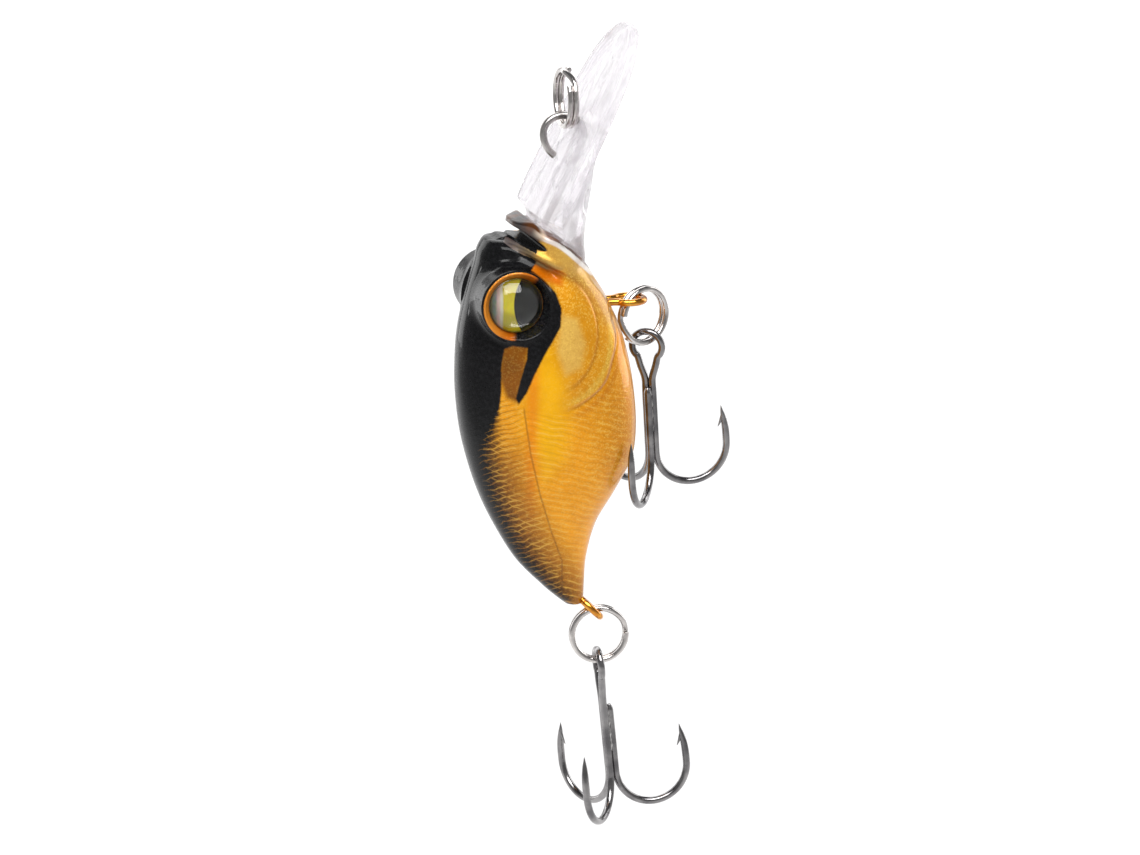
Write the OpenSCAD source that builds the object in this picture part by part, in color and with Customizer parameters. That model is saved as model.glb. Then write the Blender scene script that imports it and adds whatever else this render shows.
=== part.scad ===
// Deep-diving crankbait lure, hanging nose up from its line split ring.
// Origin: centre of the line split ring. +Z towards the nose, +X the belly
// side, -X the back. The lure's own plane of symmetry is Y = 0.

/* [Wires and rings] */
// Mean radius of the split rings
ring_r = 2.68; // [2.64:0.01:2.7]
// Wire radius of the split rings, two turns side by side
ring_wire = 0.29; // [0.24:0.01:0.3]
// Wire radius of the line tie
tie_wire = 0.36; // [0.3:0.01:0.37]
// Wire radius of the two hook hangers
hanger_wire = 0.35; // [0.3:0.01:0.36]
// Wire radius of the treble hooks
hook_wire = 0.36; // [0.3:0.01:0.37]

/* [Body] */
// Widest half width of the body
body_half_w = 6.5; // [6.2:0.1:6.7]
// Wall thickness of the moulded halves
wall = 1.2; // [1:0.1:1.4]

/* [Eyes] */
// Radius of the printed foil and the lens over it
eye_r = 2.65; // [2.4:0.05:2.7]
// Height of the lens dome
eye_dome = 1.25; // [0.9:0.05:1.4]

/* [Lip] */
// Thickness of the paddle
lip_t = 1.2; // [1:0.05:1.3]
// Length of the paddle from its rear edge to its tip
lip_len = 20.2; // [19.6:0.1:20.4]

/* [Inside] */
// Radius of each rattle ball
rattle_r = 1.3; // [1.1:0.05:1.35]
// How far a rattle ball can roll along its channel
rattle_travel = 5; // [4:0.5:5]
// Radius of the belly weight
weight_r = 2; // [1.6:0.1:2]

/* [Hidden] */
$fn = 48;

// ---- where things hang
tie_c = [-0.35, 0, -3.2];            // centre of the line tie's loop
belly_eye_c = [6.3, 0, -20.2];       // centre of the belly hanger's loop
tail_eye_c = [2.4, 0, -51.05];       // centre of the tail hanger's loop
belly_ring_c = [8.05, 0.8, -22.1];   // the belly ring hangs beside its hanger
belly_ring_a = 24;                   // its plane, turned about Z from XZ
tail_ring_c = [3.35, 0, -53.9];
tail_ring_a = -8;
eye_drop = 0.5;                      // a hook eye's centre below its ring's wire
belly_hook_c = [8.5, 1, -22.05 - ring_r - eye_drop];
tail_hook_c = [3.35, 0, -53.9 - ring_r - eye_drop];
belly_hook_a = -122;                 // the way each single hook points
tail_hook_a = -5;
eye_c = [-6.4, 5.15, -18.8];         // back face of an eye's lens, left side

// ---- smooth curve through the rows of a table, by its first column
function cr(p0, p1, p2, p3, t) = 0.5 * ((2 * p1) + (p2 - p0) * t + (2 * p0 - 5 * p1 + 4 * p2 - p3) * t * t + (3 * p1 - p0 - 3 * p2 + p3) * t * t * t);
function rows(tb, k) = [for (i = [0 : len(tb) - 2]) for (j = [0 : k - 1])
    cr(tb[max(i - 1, 0)], tb[i], tb[i + 1], tb[min(i + 2, len(tb) - 1)], j / k), tb[len(tb) - 1]];

// ---- body sections: height, back, belly, half width (of the widest)
sections = [
    [-11.5, -5.6, -4.2, 0.10],
    [-11.8, -6.3, -3.7, 0.30],
    [-12.6, -7.6, -2.8, 0.45],
    [-13.6, -8.4, -1.5, 0.56],
    [-15.6, -9.0, 1.5, 0.70],
    [-17.6, -9.7, 2.6, 0.80],
    [-19.6, -10.2, 3.8, 0.88],
    [-22.0, -10.7, 5.0, 0.94],
    [-24.5, -10.9, 5.8, 0.98],
    [-28.0, -11.0, 6.5, 1.00],
    [-32.0, -10.6, 6.8, 0.98],
    [-35.5, -9.8, 6.5, 0.90],
    [-38.8, -8.7, 4.8, 0.76],
    [-42.0, -7.2, 2.9, 0.58],
    [-45.5, -5.1, 1.9, 0.41],
    [-48.2, -2.6, 1.75, 0.29],
    [-49.5, -1.2, 1.75, 0.24],
    [-50.4, -0.2, 1.7, 0.19]];
inner_sections = [for (s = sections) if (s[0] < -16 && s[0] > -46)
    [s[0], s[1] + wall + 0.1, s[2] - wall - 0.1, max(s[3] - wall / body_half_w, 0.06)]];

half_n = 12;
function section_pts(s) = [for (k = [0 : 2 * half_n - 1])
    let (a = 180 * k / half_n, xm = (s[1] + s[2]) / 2, hx = (s[2] - s[1]) / 2)
    [xm - hx * cos(a), body_half_w * s[3] * (sin(a) < 0 ? -1 : 1) * pow(abs(sin(a)), 0.94), s[0]]];

// A closed solid through rings of points
module loft(rings) {
    m = len(rings[0]);
    n = len(rings);
    polyhedron(
        points = [for (r = rings) for (p = r) p],
        faces = concat(
            [[for (k = [0 : m - 1]) k]],
            [[for (k = [m - 1 : -1 : 0]) (n - 1) * m + k]],
            [for (i = [0 : n - 2]) for (k = [0 : m - 1]) for (h = [0, 1])
                let (a = i * m + k, b = i * m + (k + 1) % m, c = (i + 1) * m + (k + 1) % m, d = (i + 1) * m + k)
                h == 0 ? [a, d, c] : [a, c, b]]));
}

module body_outer() { loft([for (s = rows(sections, 3)) section_pts(s)]); }
module body_inner() { loft([for (s = rows(inner_sections, 2)) section_pts(s)]); }

// ---- a tube along a route, with a radius at each point
function unit(v) = v / norm(v);
function flat(n, t) = unit(n - (n * t) * t);
function tangents(p) = [for (i = [0 : len(p) - 1]) unit(p[min(i + 1, len(p) - 1)] - p[max(i - 1, 0)])];
function normals(t, n0) = [for (i = 0, n = flat(n0, t[0]); i < len(t); i = i + 1, n = i < len(t) ? flat(n, t[i]) : n) n];
module tube(p, r, n0, sides = 10) {
    t = tangents(p);
    nn = normals(t, n0);
    loft([for (i = [0 : len(p) - 1])
        let (b = cross(t[i], nn[i]), q = is_list(r) ? r[i] : r)
        [for (k = [0 : sides - 1]) let (a = -360 * (k + 0.5) / sides) p[i] + q * (cos(a) * nn[i] + sin(a) * b)]]);
}
function arc(c, r, a0, a1, k) = [for (i = [0 : k]) let (a = a0 + (a1 - a0) * i / k) [c[0] + r * cos(a), c[1] + r * sin(a)]];

// ---- split ring: two turns of wire, each ending in a small gap
module split_ring() {
    difference() {
        rotate_extrude($fn = 72)
            translate([ring_r, 0]) {
                translate([0, ring_wire]) circle(r = ring_wire, $fn = 24);
                translate([0, -ring_wire]) circle(r = ring_wire, $fn = 24);
                square([ring_wire * 1.2, ring_wire * 1.2], center = true);
            }
        rotate([0, 0, 35]) translate([ring_r, 0, ring_wire + 0.45]) cube([2, 0.12, 1.2], center = true);
        rotate([0, 0, 75]) translate([ring_r, 0, -ring_wire - 0.45]) cube([2, 0.12, 1.2], center = true);
    }
}

module line_split_ring() { color([0.80, 0.80, 0.82]) rotate([0, 90, 0]) rotate([0, 0, -60]) split_ring(); }
module belly_split_ring() { color([0.80, 0.80, 0.82]) translate(belly_ring_c) rotate([0, 0, belly_ring_a]) rotate([90, 0, 0]) rotate([0, 0, 15]) split_ring(); }
module tail_split_ring() { color([0.80, 0.80, 0.82]) translate(tail_ring_c) rotate([0, 0, tail_ring_a]) rotate([90, 0, 0]) rotate([0, 0, 100]) split_ring(); }

// ---- lip. s runs along the paddle, n towards the belly side, from the
// middle of the paddle's rear edge on its back face
lip_o = [-3.25, 0, -10.8];
lip_a = 27;
module lip_frame() { translate(lip_o) rotate([0, lip_a, 0]) children(); } // local: X = n, Z = s
outline = [[-0.4, 3], [0, 6.3], [0.5, 6.6], [2, 6.9], [5, 6.9], [8, 6.6], [12, 6.2], [15, 5.6], [16.8, 4.9], [18.2, 3.9], [19.3, 2.7], [19.95, 1.4], [20.2, 0]];
module paddle_2d() {
    pts = [for (o = rows(outline, 2)) [o[0] * lip_len / 20.2, o[1]]];
    polygon(concat([for (q = pts) [q[1], q[0]]], [for (i = [len(pts) - 2 : -1 : 0]) [-pts[i][1], pts[i][0]]]));
}
// keel under the paddle: place along the paddle, depth, half width at the paddle
keel = [[-3.2, 7.0, 5.4], [-1.8, 6.4, 5.9], [-0.4, 5.5, 6.2], [1.7, 4.6, 6.4], [4.9, 3.5, 6.2], [7.2, 2.8, 5.4], [9, 2.1, 4.2], [10.6, 1.3, 2.6]];
function keel_pts(k) = [for (j = [0 : 12]) let (a = 180 * j / 12)
    [0.15 + (k[1] - 0.15) * pow(sin(a), 1.15), -k[2] * (cos(a) < 0 ? -1 : 1) * pow(abs(cos(a)), 0.8), k[0]]];
module lip_solid() {
    lip_frame() {
        rotate([90, 0, 90]) linear_extrude(lip_t) paddle_2d();
        loft([for (k = rows(keel, 2)) keel_pts(k)]);
        translate([lip_t - 0.3, -0.55, 10]) cube([0.6, 1.1, 6]);
        translate([1.4, -1.5, -7]) cube([3.4, 3, 5]);
    }
}
module diving_lip() { color([0.93, 0.93, 0.97, 0.45]) lip_solid(); }

tie_route = [[-2.4, -12.6], [-1.3, -10.4], [-0.2, -8.3], [0.8, -6.2], [1.5, -4.6], [1.75, -3.4], [1.4, -2.4], [0.6, -1.8], [-0.35, -1.65], [-1.1, -1.85], [-1.65, -2.4], [-1.9, -3.2], [-1.75, -4.05], [-1.3, -4.9], [-0.75, -5.8], [-0.5, -6.8]];
module line_tie_wire() { color([0.55, 0.54, 0.53]) tube([for (q = rows(tie_route, 2)) [q[0], 0, q[1]]], tie_wire, [0, 1, 0], 12); }

// ---- hook hangers, in a plane: u out of the body, v across it
function hanger_route(c, r, x0, leg) = concat(
    [[x0, 1.15], [x0 + 0.45, leg + 0.1], [x0 + 1.2, leg]],
    [[c - r * 1.35, leg + 0.03]],
    arc([c, 0], r, 144, -144, 20),
    [[c - r * 1.35, -leg - 0.03]],
    [[x0 + 1.2, -leg], [x0 + 0.45, -leg - 0.1], [x0, -1.15]]);
module belly_hanger_wire() { color([0.85, 0.55, 0.12]) tube([for (q = hanger_route(belly_eye_c[0], 1.5, 1.2, 0.7)) [q[0], q[1], belly_eye_c[2]]], hanger_wire, [0, 0, 1], 12); }
module tail_hanger_wire() {
    color([0.80, 0.50, 0.12]) tube([for (q = hanger_route(0, 1.4, -6.4, 0.42))
        [tail_eye_c[0] + 0.7071 * q[0], q[1] * (q[0] < -5 ? 0.8 : 1), tail_eye_c[2] - 0.7071 * q[0]]], hanger_wire, [0.7071, 0, 0.7071], 12);
}

// ---- eyes
module eye_foil(side) { translate([eye_c[0], side * (eye_c[1] - 0.18), eye_c[2]]) rotate([-90 * side, 0, 0]) cylinder(r = eye_r, h = 0.16); }
module eye_lens(side) {
    rs = (eye_r * eye_r + eye_dome * eye_dome) / (2 * eye_dome);
    translate([eye_c[0], side * eye_c[1], eye_c[2]]) rotate([-90 * side, 0, 0])
        intersection() {
            translate([0, 0, eye_dome - rs]) sphere(r = rs, $fn = 64);
            cylinder(r = eye_r * 2, h = eye_dome * 2);
        }
}
module right_eye_foil() { color([0.86, 0.78, 0.20]) eye_foil(-1); }
module left_eye_foil() { color([0.86, 0.78, 0.20]) eye_foil(1); }
module right_eye_lens() { color([0.9, 0.9, 0.8, 0.5]) eye_lens(-1); }
module left_eye_lens() { color([0.9, 0.9, 0.8, 0.5]) eye_lens(1); }

// ---- inside
weight_c = [2.3, 0, -27];
back_ball_c = [-6.2, 0, -34.4];
mid_ball_c = [-2.7, 0, -34.4];
module belly_weight() { color([0.45, 0.45, 0.47]) translate(weight_c) rotate([90, 0, 0]) cylinder(r = weight_r, h = 5.4, center = true); }
module rattle_ball_back() { color([0.75, 0.75, 0.76]) translate(back_ball_c) sphere(r = rattle_r); }
module rattle_ball_middle() { color([0.75, 0.75, 0.76]) translate(mid_ball_c) sphere(r = rattle_r); }
module channel(c) { translate([c[0], 0, c[2] - 1.45]) cylinder(r = 1.42, h = rattle_travel + 2.9); }

// ---- body halves
pin_at = [[-8.3, -23], [-7.2, -39.2], [4.6, -34], [0.2, -41.5]];
module half_space(side) { translate([-20, side > 0 ? 0 : -20, -60]) cube([40, 20, 60]); }
module ribs() {
    translate([-8.4, -7, -36.6]) cube([8.1, 14, 8.9]);             // rattle channels
    translate([-0.4, -7, -29.7]) cube([5.4, 14, 5.4]);             // weight cradle
    translate([0.2, -7, -21.6]) cube([4, 14, 2.8]);                // belly hanger block
    translate([-4.5, -7, -19.5]) cube([7, 14, 5]);                 // lip tang block
    for (q = pin_at) translate([q[0], 0, q[1]]) rotate([90, 0, 0]) cylinder(r = 1.1, h = 14, center = true);
}
module eye_boss(side) {
    hull() for (q = [[3.1, 3.6], [5.0, 3.6], [5.55, 3.35], [5.75, 3.0]])
        translate([eye_c[0], side * q[0], eye_c[2]]) rotate([-90 * side, 0, 0]) translate([0, 0, -0.05]) cylinder(r = q[1], h = 0.1, $fn = 40);
}
module pins(grow) {
    for (q = pin_at) translate([q[0], 0, q[1]]) rotate([-90, 0, 0]) hull() {
        translate([0, 0, -0.3]) cylinder(r = 0.5 + grow, h = 0.2, $fn = 20);
        translate([0, 0, 0.9 + grow]) cylinder(r = 0.38 + grow, h = 0.1, $fn = 20);
    }
}
module mouth() {
    translate([0, 6, 0]) rotate([90, 0, 0]) linear_extrude(12)
        polygon([[-7.33, -12.73], [-7.05, -11.27], [-6.03, -11.17], [-3.13, -13.87]]);
}
module hanger_slots() {
    translate([0.75, -1.09, belly_eye_c[2] - 0.37]) cube([7, 2.18, 0.74]);
    translate([0.75, -1.53, belly_eye_c[2] - 0.37]) cube([1.3, 3.06, 0.74]);
    translate(tail_eye_c) rotate([0, 45, 0]) {
        translate([-6.85, -0.82, -0.37]) cube([7, 1.64, 0.74]);
        translate([-6.85, -1.31, -0.37]) cube([1.25, 2.62, 0.74]);
    }
}
module shell(side) {
    difference() {
        union() {
            difference() {
                intersection() { body_outer(); half_space(side); }
                body_inner();
            }
            intersection() { body_outer(); half_space(side); ribs(); }
            difference() { eye_boss(side); body_inner(); }
            if (side < 0) pins(0);
        }
        mouth();
        lip_solid();
        channel(back_ball_c);
        channel(mid_ball_c);
        translate(weight_c) rotate([90, 0, 0]) cylinder(r = weight_r + 0.05, h = 5.5, center = true);
        hanger_slots();
        translate([eye_c[0], side * (eye_c[1] - 0.2), eye_c[2]]) rotate([-90 * side, 0, 0]) cylinder(r = eye_r + 0.06, h = 4);
        if (side > 0) pins(0.06);
        // shallow gill slit, a row of short cuts
        for (a = [-50 : 20 : 50])
            translate([-1.6 + 5 * cos(a), side * 6.9, -24 + 5.4 * sin(a)]) hull() for (h = [-1, 1])
                translate([-h * 0.9 * sin(a), 0, h * 0.9 * cos(a)]) sphere(r = 0.7, $fn = 10);
    }
}
module body_shell_right() { color([0.90, 0.62, 0.12]) shell(-1); }
module body_shell_left() { color([0.88, 0.58, 0.12]) shell(1); }

// ---- treble hooks. Local frame: eye at the origin, shank down -Z, the
// single hook towards +X, the eye's loop in the YZ plane
hook_side = concat([[6.8, -7.3], [6.95, -8.2], [7.1, -9.1], [7.2, -10.1]], arc([3.6, -11.2], 3.6, 0, -180, 14), [[0, -9.6]]);
side_r = [for (i = [0 : len(hook_side) - 1]) i == 0 ? 0.06 : i == 1 ? 0.22 : i == 2 ? 0.32 : hook_wire];
function hook_pts(v, a) = [for (q = hook_side) [v[0] + q[0] * cos(a), v[1] + q[0] * sin(a), q[1]]];
function rev(v) = [for (i = [len(v) - 1 : -1 : 0]) v[i]];
gap = hook_wire + 0.01;
module hook_double() {
    eye = [for (q = arc([0, 0], 1.5, -48, 228, 20)) [0, q[0], q[1]]];
    p = concat(hook_pts([0, gap, 0], 120), [[0, gap, -5], [0, gap, -3.4], [0, 0.75, -2.1]], eye,
        [[0, -0.75, -2.1], [0, -gap, -3.4], [0, -gap, -5]], rev(hook_pts([0, -gap, 0], -120)));
    r = concat(side_r, [for (i = [1 : 27]) hook_wire], rev(side_r));
    tube(p, r, [1, 0, 0], 10);
}
module hook_single() {
    x = sqrt(3) * gap;
    tube(concat([for (q = hook_side) [x + q[0], 0, q[1]]], [[x, 0, -7], [x, 0, -5], [x, 0, -4.3]]),
        concat(side_r, [hook_wire, hook_wire, hook_wire * 0.7]), [0, 1, 0], 10);
}
module hook_braze() {
    translate([0.32, 0, -8.9]) cylinder(r = 0.34, h = 4.2, $fn = 24);
}
module at_belly() { translate(belly_hook_c) rotate([6, -5, 0]) rotate([0, 0, belly_hook_a]) children(); } // both trebles hang a little askew
module at_tail() { translate(tail_hook_c) rotate([-3, -5, 0]) rotate([0, 0, tail_hook_a]) children(); }
module belly_hook_double() { color([0.30, 0.30, 0.32]) at_belly() hook_double(); }
module belly_hook_single() { color([0.34, 0.34, 0.36]) at_belly() hook_single(); }
module belly_hook_braze() { color([0.50, 0.49, 0.48]) at_belly() hook_braze(); }
module tail_hook_double() { color([0.30, 0.30, 0.32]) at_tail() hook_double(); }
module tail_hook_single() { color([0.34, 0.34, 0.36]) at_tail() hook_single(); }
module tail_hook_braze() { color([0.50, 0.49, 0.48]) at_tail() hook_braze(); }

line_split_ring();
diving_lip();
line_tie_wire();
body_shell_right();
body_shell_left();
right_eye_foil();
right_eye_lens();
left_eye_foil();
left_eye_lens();
belly_hanger_wire();
tail_hanger_wire();
belly_weight();
rattle_ball_back();
rattle_ball_middle();
belly_split_ring();
belly_hook_double();
belly_hook_single();
belly_hook_braze();
tail_split_ring();
tail_hook_double();
tail_hook_single();
tail_hook_braze();
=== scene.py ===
import bpy, bmesh, math
import numpy as np
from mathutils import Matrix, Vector


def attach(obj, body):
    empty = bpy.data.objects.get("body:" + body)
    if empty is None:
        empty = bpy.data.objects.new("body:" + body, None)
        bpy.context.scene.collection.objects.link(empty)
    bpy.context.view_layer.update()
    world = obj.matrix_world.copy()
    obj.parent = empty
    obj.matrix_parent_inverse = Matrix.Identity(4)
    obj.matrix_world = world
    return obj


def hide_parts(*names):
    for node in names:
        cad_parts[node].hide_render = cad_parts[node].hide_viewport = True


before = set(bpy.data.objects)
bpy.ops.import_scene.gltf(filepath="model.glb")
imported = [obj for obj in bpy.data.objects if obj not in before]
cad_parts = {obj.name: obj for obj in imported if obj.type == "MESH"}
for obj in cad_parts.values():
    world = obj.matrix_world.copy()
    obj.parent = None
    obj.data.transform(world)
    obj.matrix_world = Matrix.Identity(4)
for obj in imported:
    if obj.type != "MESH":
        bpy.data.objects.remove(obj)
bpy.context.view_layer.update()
MM = 0.001
rad = math.radians
scene = bpy.context.scene


# ------------------------------------------------------------------ helpers
def link(ob):
    scene.collection.objects.link(ob)
    return ob


def mesh_object(name, verts, faces, smooth=True, scale=MM):
    """A mesh object from points in millimetres and faces as index arrays."""
    verts = np.asarray(verts, float) * scale
    me = bpy.data.meshes.new(name)
    if isinstance(faces, np.ndarray):
        n, k = faces.shape
        me.vertices.add(len(verts))
        me.vertices.foreach_set("co", verts.astype(np.float32).ravel())
        me.loops.add(n * k)
        me.loops.foreach_set("vertex_index", faces.astype(np.int32).ravel())
        me.polygons.add(n)
        me.polygons.foreach_set("loop_start", np.arange(0, n * k, k, dtype=np.int32))
        me.update(calc_edges=True)
        me.validate()
    else:
        me.from_pydata([tuple(v) for v in verts], [], [tuple(f) for f in faces])
        me.update()
    if smooth:
        me.polygons.foreach_set("use_smooth", [True] * len(me.polygons))
    return link(bpy.data.objects.new(name, me))


def spline(tb, k):
    """Catmull-Rom through the rows of a table, k steps a span."""
    tb = np.asarray(tb, float)
    out = []
    n = len(tb)
    for i in range(n - 1):
        p0, p1, p2, p3 = tb[max(i - 1, 0)], tb[i], tb[i + 1], tb[min(i + 2, n - 1)]
        for j in range(k):
            t = j / k
            out.append(0.5 * (2 * p1 + (p2 - p0) * t + (2 * p0 - 5 * p1 + 4 * p2 - p3) * t * t
                              + (3 * p1 - p0 - 3 * p2 + p3) * t ** 3))
    out.append(tb[-1])
    return np.array(out)


def arc(c, r, a0, a1, k):
    a = np.radians(np.linspace(a0, a1, k + 1))
    return np.stack([c[0] + r * np.cos(a), c[1] + r * np.sin(a)], 1)


def unit(v):
    return v / np.maximum(np.linalg.norm(v, axis=-1, keepdims=True), 1e-12)


def sstep(a, b, x):
    t = np.clip((x - a) / (b - a), 0, 1)
    return t * t * (3 - 2 * t)


def sweep(path, radius, n0, sides=20, flat=None, caps=True, power=1.0):
    """A tube along a path. radius may be an array; flat is a second array
    that scales the section along the frame's first normal."""
    p = np.asarray(path, float)
    n = len(p)
    r = np.full(n, radius, float) if np.isscalar(radius) else np.asarray(radius, float)
    f = np.ones(n) if flat is None else np.asarray(flat, float)
    t = unit(np.gradient(p, axis=0))
    nn = np.zeros_like(p)
    v = np.asarray(n0, float)
    for i in range(n):
        v = v - v.dot(t[i]) * t[i]
        v = v / np.linalg.norm(v)
        nn[i] = v
    b = np.cross(t, nn)
    a = np.linspace(0, 2 * np.pi, sides, endpoint=False)
    ca, sa = np.cos(a), np.sin(a)
    if power != 1.0:
        ca = np.sign(ca) * np.abs(ca) ** power
        sa = np.sign(sa) * np.abs(sa) ** power
    V = p[:, None] + r[:, None, None] * (f[:, None, None] * ca[None, :, None] * nn[:, None] + sa[None, :, None] * b[:, None])
    V = V.reshape(-1, 3)
    i = np.arange(n - 1)[:, None] * sides
    k = np.arange(sides)[None]
    k2 = (k + 1) % sides
    F = np.stack([i + k, i + k2, i + sides + k2, i + sides + k], -1).reshape(-1, 4)
    F = [tuple(q) for q in F]
    if caps:
        F.append(tuple(range(sides - 1, -1, -1)))
        F.append(tuple(range((n - 1) * sides, n * sides)))
    return V, F


def join(parts):
    V, F, o = [], [], 0
    for v, f in parts:
        V.append(v)
        F += [tuple(int(i) + o for i in q) for q in f]
        o += len(v)
    return np.vstack(V), F


def rotz(v, deg):
    c, s = math.cos(rad(deg)), math.sin(rad(deg))
    v = np.asarray(v, float)
    return np.stack([v[:, 0] * c - v[:, 1] * s, v[:, 0] * s + v[:, 1] * c, v[:, 2]], 1)


# ------------------------------------------------------------------ material kit
class Mat:
    def __init__(self, name):
        self.m = bpy.data.materials.new(name)
        self.m.use_nodes = True
        self.t = self.m.node_tree
        self.t.nodes.clear()
        self.out = self.t.nodes.new("ShaderNodeOutputMaterial")
        self.x = 0

    def n(self, kind, **kw):
        nd = self.t.nodes.new("ShaderNode" + kind)
        self.x += 160
        nd.location = (self.x - 2400, -(self.x % 700))
        for k, v in kw.items():
            if k.startswith("i_"):
                continue
            setattr(nd, k, v)
        return nd

    def put(self, sock, val):
        if isinstance(val, bpy.types.NodeSocket):
            self.t.links.new(val, sock)
        elif isinstance(val, (tuple, list)) and len(val) == 3 and sock.type == "RGBA":
            sock.default_value = (*val, 1)
        else:
            sock.default_value = val

    def math(self, op, a, b=0.0, c=None, clamp=False):
        nd = self.n("Math", operation=op, use_clamp=clamp)
        self.put(nd.inputs[0], a)
        self.put(nd.inputs[1], b)
        if c is not None:
            self.put(nd.inputs[2], c)
        return nd.outputs[0]

    def vmath(self, op, a, b=(0, 0, 0), scale=None):
        nd = self.n("VectorMath", operation=op)
        self.put(nd.inputs[0], a)
        if op not in ("NORMALIZE", "LENGTH", "SCALE"):
            self.put(nd.inputs[1], b)
        if scale is not None:
            self.put(nd.inputs["Scale"], scale)
        return nd.outputs["Value"] if op in ("LENGTH", "DOT_PRODUCT", "DISTANCE") else nd.outputs[0]

    def mix(self, f, a, b, mode="MIX"):
        nd = self.n("Mix", data_type="RGBA", blend_type=mode)
        self.put(nd.inputs[0], f)
        self.put(nd.inputs[6], a)
        self.put(nd.inputs[7], b)
        return nd.outputs[2]

    def ramp(self, f, a0, a1, lo=0.0, hi=1.0, smooth=True):
        nd = self.n("MapRange", interpolation_type="SMOOTHSTEP" if smooth else "LINEAR")
        self.put(nd.inputs[0], f)
        for i, v in ((1, a0), (2, a1), (3, lo), (4, hi)):
            self.put(nd.inputs[i], v)
        return nd.outputs[0]

    def noise(self, vec, scale, detail=3.0, rough=0.5, dist=0.0):
        nd = self.n("TexNoise")
        self.put(nd.inputs["Vector"], vec)
        self.put(nd.inputs["Scale"], scale)
        self.put(nd.inputs["Detail"], detail)
        self.put(nd.inputs["Roughness"], rough)
        self.put(nd.inputs["Distortion"], dist)
        return nd.outputs[0]

    def voronoi(self, vec, scale, feature="F1", out="Distance", rnd=1.0):
        nd = self.n("TexVoronoi", feature=feature)
        self.put(nd.inputs["Vector"], vec)
        self.put(nd.inputs["Scale"], scale)
        self.put(nd.inputs["Randomness"], rnd)
        return nd.outputs[out]

    def mm(self):
        """Object coordinates in millimetres."""
        tc = self.n("TexCoord")
        return self.vmath("SCALE", tc.outputs["Object"], scale=1000.0)

    def xyz(self, v):
        nd = self.n("SeparateXYZ")
        self.put(nd.inputs[0], v)
        return nd.outputs

    def bump(self, h, dist=0.00005, strength=1.0, normal=None):
        nd = self.n("Bump")
        self.put(nd.inputs["Strength"], strength)
        self.put(nd.inputs["Distance"], dist)
        self.put(nd.inputs["Height"], h)
        if normal is not None:
            self.put(nd.inputs["Normal"], normal)
        return nd.outputs[0]

    def attr(self, name, out="Color"):
        nd = self.n("Attribute", attribute_name=name)
        return nd.outputs[out]

    def bsdf(self, **kw):
        nd = self.n("BsdfPrincipled")
        for k, v in kw.items():
            self.put(nd.inputs[k.replace("_", " ")], v)
        return nd

    def done(self, shader):
        self.put(self.out.inputs[0], shader)
        return self.m


def dress(ob, mat, slot, body, *nodes):
    ob.data.materials.clear()
    ob.data.materials.append(mat)
    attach(ob, body)
    if nodes:
        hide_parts(*nodes)
    return ob


def srgb(r, g, b, a=None):
    c = [((v / 255 + 0.055) / 1.055) ** 2.4 if v > 10 else v / 255 / 12.92 for v in (r, g, b)]
    return tuple(c) if a is None else (*c, a)


# ------------------------------------------------------------------ camera
AZ, EL = -16.0, 15.0
az, el = rad(AZ), rad(EL)
back = np.array([math.sin(az) * math.cos(el), -math.cos(az) * math.cos(el), math.sin(el)])
right = np.array([math.cos(az), math.sin(az), 0.0])
up = np.cross(back, right)
aim = 0.39 * right - 31.5 * up
cam = link(bpy.data.objects.new("camera", bpy.data.cameras.new("camera")))
cam.data.sensor_width = 36
cam.data.lens = 151.0
cam.data.clip_start, cam.data.clip_end = 0.01, 20
cam.data.dof.use_dof = False
cam.rotation_mode = "QUATERNION"
cam.location = Vector((aim + back * 457.0) * MM)
cam.rotation_quaternion = Vector(-back).to_track_quat("-Z", "Y")
scene.camera = cam


# ------------------------------------------------------------------ body shape
SEC = spline([
    [13.1, -7.8, -5.9, 0.20],
    [13.25, -8.15, -5.4, 0.34],
    [13.7, -8.45, -4.0, 0.47],
    [14.4, -8.8, -1.4, 0.58],
    [15.7, -9.1, 1.4, 0.70],
    [17.6, -9.7, 2.7, 0.80],
    [19.6, -10.2, 3.9, 0.88],
    [22.0, -10.7, 5.0, 0.94],
    [24.5, -10.95, 5.8, 0.98],
    [28.0, -11.0, 6.5, 1.00],
    [32.0, -10.6, 6.85, 0.98],
    [35.5, -9.8, 6.5, 0.90],
    [38.8, -8.7, 4.8, 0.76],
    [42.0, -7.2, 2.9, 0.58],
    [45.5, -5.1, 1.95, 0.41],
    [48.2, -2.6, 1.75, 0.29],
    [49.5, -1.2, 1.7, 0.23],
    [50.4, -0.1, 1.6, 0.15]], 6)
HALF_W = 6.5
LIP_O = np.array([-3.25, 0, -10.8])
LIP_S = np.array([math.sin(rad(27)), 0, math.cos(rad(27))])
LIP_N = np.array([math.cos(rad(27)), 0, -math.sin(rad(27))])
EYE = np.array([-6.4, 5.15, -18.8])
MOUTH_F = np.array([-6.75, 0, -11.75])
MOUTH_T = np.array([0.883, 0, -0.469])
MOUTH_N = np.array([0.469, 0, 0.883])


def smin(a, b, k):
    h = np.clip(0.5 + 0.5 * (b - a) / k, 0, 1)
    return b * (1 - h) + a * h - k * h * (1 - h)


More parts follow.
